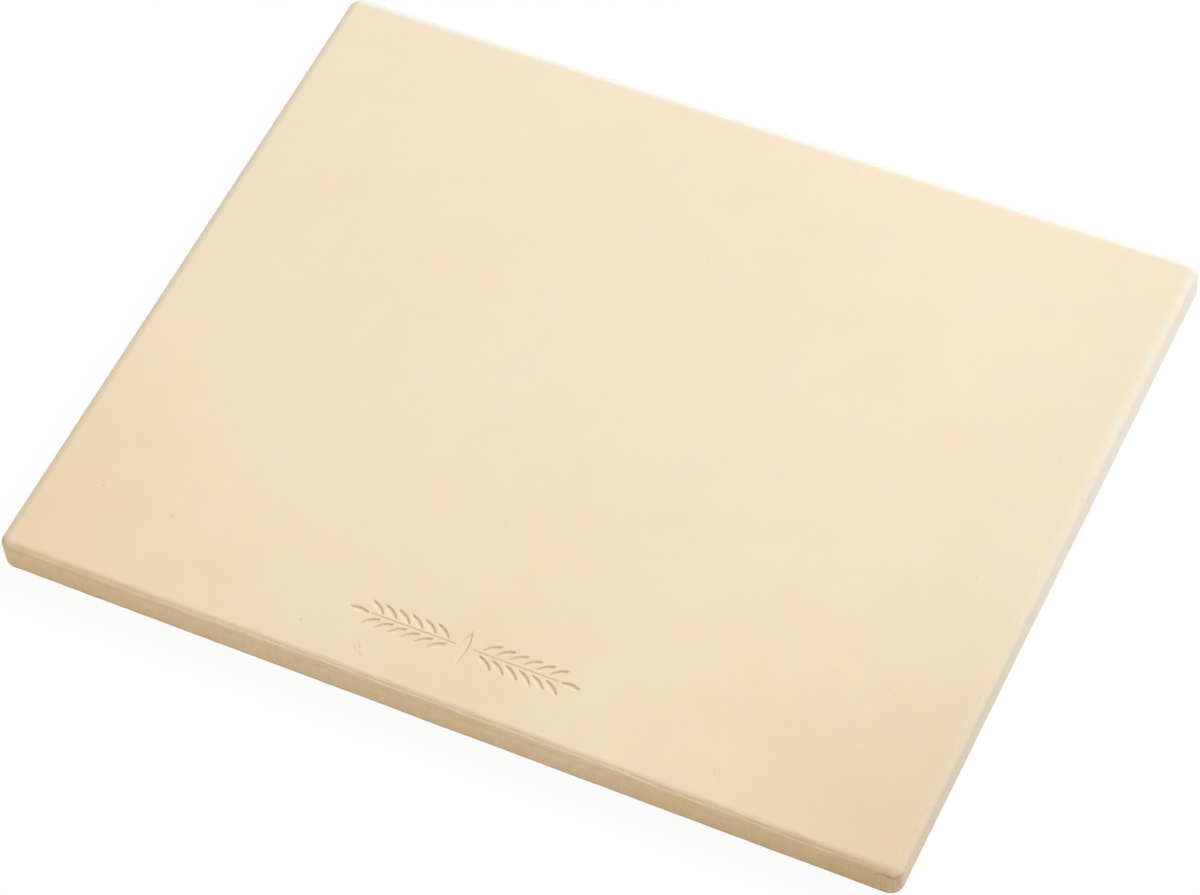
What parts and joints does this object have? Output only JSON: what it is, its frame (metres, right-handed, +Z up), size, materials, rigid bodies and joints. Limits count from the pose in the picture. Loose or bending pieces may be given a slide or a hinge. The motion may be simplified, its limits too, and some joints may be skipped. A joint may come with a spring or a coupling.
{
  "type": "pizza stone",
  "caption": "Rectangular ceramic baking slab with a flat face, a rounded upper shoulder, plain walls and a shallow pressed wheat-ear ornament near the front edge.",
  "frame": {"origin": "middle of the flat underside, on the surface that the stone lies on", "axes": "+X along the long side, to the right as seen from the edge with the ornament; +Y from that front edge to the back edge; +Z up, out of the baking face"},
  "size_m": [0.381, 0.3048, 0.015],
  "materials": {
    "cordierite": "unglazed, matt, fine-grained, warm cream"
  },
  "bodies": {
    "root": {"stone_slab": "cordierite"}
  },
  "joints": []
}
